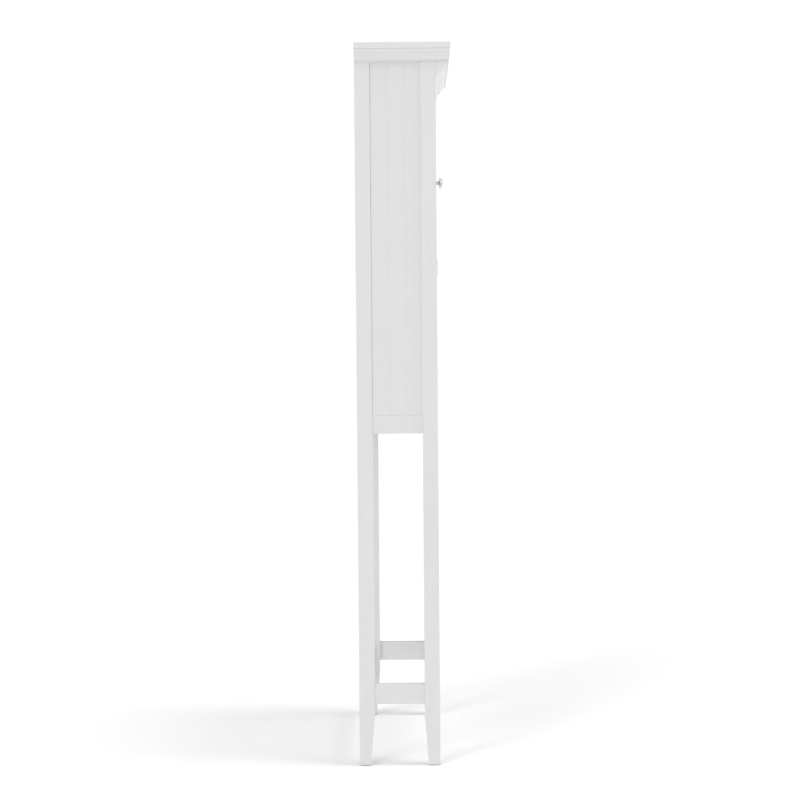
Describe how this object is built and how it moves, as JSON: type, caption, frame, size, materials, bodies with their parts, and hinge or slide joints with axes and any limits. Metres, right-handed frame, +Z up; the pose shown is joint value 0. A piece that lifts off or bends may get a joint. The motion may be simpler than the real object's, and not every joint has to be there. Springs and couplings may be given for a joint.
{
  "type": "over-toilet bath cabinet",
  "caption": "Tall narrow wooden bath cabinet on open tapered legs, with a two-door cupboard over an open shelf, boarded sides and a moulded crown.",
  "frame": {"origin": "on the floor, under the middle of the overall box", "axes": "+X to the right seen from the front, -Y out of the doors, +Y to the wall behind, +Z up"},
  "size_m": [0.688, 0.227, 1.712],
  "materials": {
    "white_paint": "sprayed pure white satin paint on wood",
    "bare_pine": "bare sawn pine, hidden inside the apron frame",
    "brushed_nickel": "brushed nickel plate",
    "satin_nickel": "satin nickel plate",
    "zinc_steel": "bright zinc plated steel",
    "glide_plastic": "off-white nylon",
    "catch_plastic": "white moulded plastic"
  },
  "bodies": {
    "cabinet": {"adjustable_shelf": "white_paint", "apron_back": "white_paint", "apron_front": "white_paint", "apron_left": "white_paint", "apron_right": "white_paint", "back_panel": "white_paint", "base_bolts": "zinc_steel", "bottom_board": "white_paint", "corner_blocks": "bare_pine", "crown_band_front": "white_paint", "crown_band_left": "white_paint", "crown_band_right": "white_paint", "crown_cap": "white_paint", "crown_ogee": "white_paint", "foot_glides": "glide_plastic", "hinge_frame_leaves": "satin_nickel", "hinge_frame_screws": "satin_nickel", "hinge_pins": "satin_nickel", "leg_back_left": "white_paint", "leg_back_right": "white_paint", "leg_front_left": "white_paint", "leg_front_right": "white_paint", "magnetic_catches": "catch_plastic", "middle_shelf": "white_paint", "panel_bead_left": "white_paint", "panel_bead_right": "white_paint", "post_back_left": "white_paint", "post_back_right": "white_paint", "post_front_left": "white_paint", "post_front_right": "white_paint", "rail_middle": "white_paint", "rail_top": "white_paint", "shelf_pins": "zinc_steel", "side_panel_left": "white_paint", "side_panel_right": "white_paint", "stretcher_back": "white_paint", "stretcher_left": "white_paint", "stretcher_right": "white_paint", "top_board": "white_paint", "wall_bracket": "zinc_steel", "wall_bracket_screws": "zinc_steel"},
    "door_left": {"door_left_bottom_rail": "white_paint", "door_left_hinge_leaves": "satin_nickel", "door_left_hinge_screws": "satin_nickel", "door_left_hinge_stile": "white_paint", "door_left_knob": "brushed_nickel", "door_left_knob_bolt": "brushed_nickel", "door_left_lock_stile": "white_paint", "door_left_panel": "white_paint", "door_left_strike_plate": "zinc_steel", "door_left_top_rail": "white_paint"},
    "door_right": {"door_right_bottom_rail": "white_paint", "door_right_hinge_leaves": "satin_nickel", "door_right_hinge_screws": "satin_nickel", "door_right_hinge_stile": "white_paint", "door_right_knob": "brushed_nickel", "door_right_knob_bolt": "brushed_nickel", "door_right_lock_stile": "white_paint", "door_right_panel": "white_paint", "door_right_strike_plate": "zinc_steel", "door_right_top_rail": "white_paint"}
  },
  "joints": [
    {"name": "door_left_hinge", "type": "hinge", "parent": "cabinet", "child": "door_left", "pos_m": [-0.2973, -0.0785, 1.388], "axis": [0, 0, -1], "range_deg": [0, 170]},
    {"name": "door_right_hinge", "type": "hinge", "parent": "cabinet", "child": "door_right", "pos_m": [0.2973, -0.0785, 1.388], "axis": [0, 0, 1], "range_deg": [0, 170]}
  ]
}
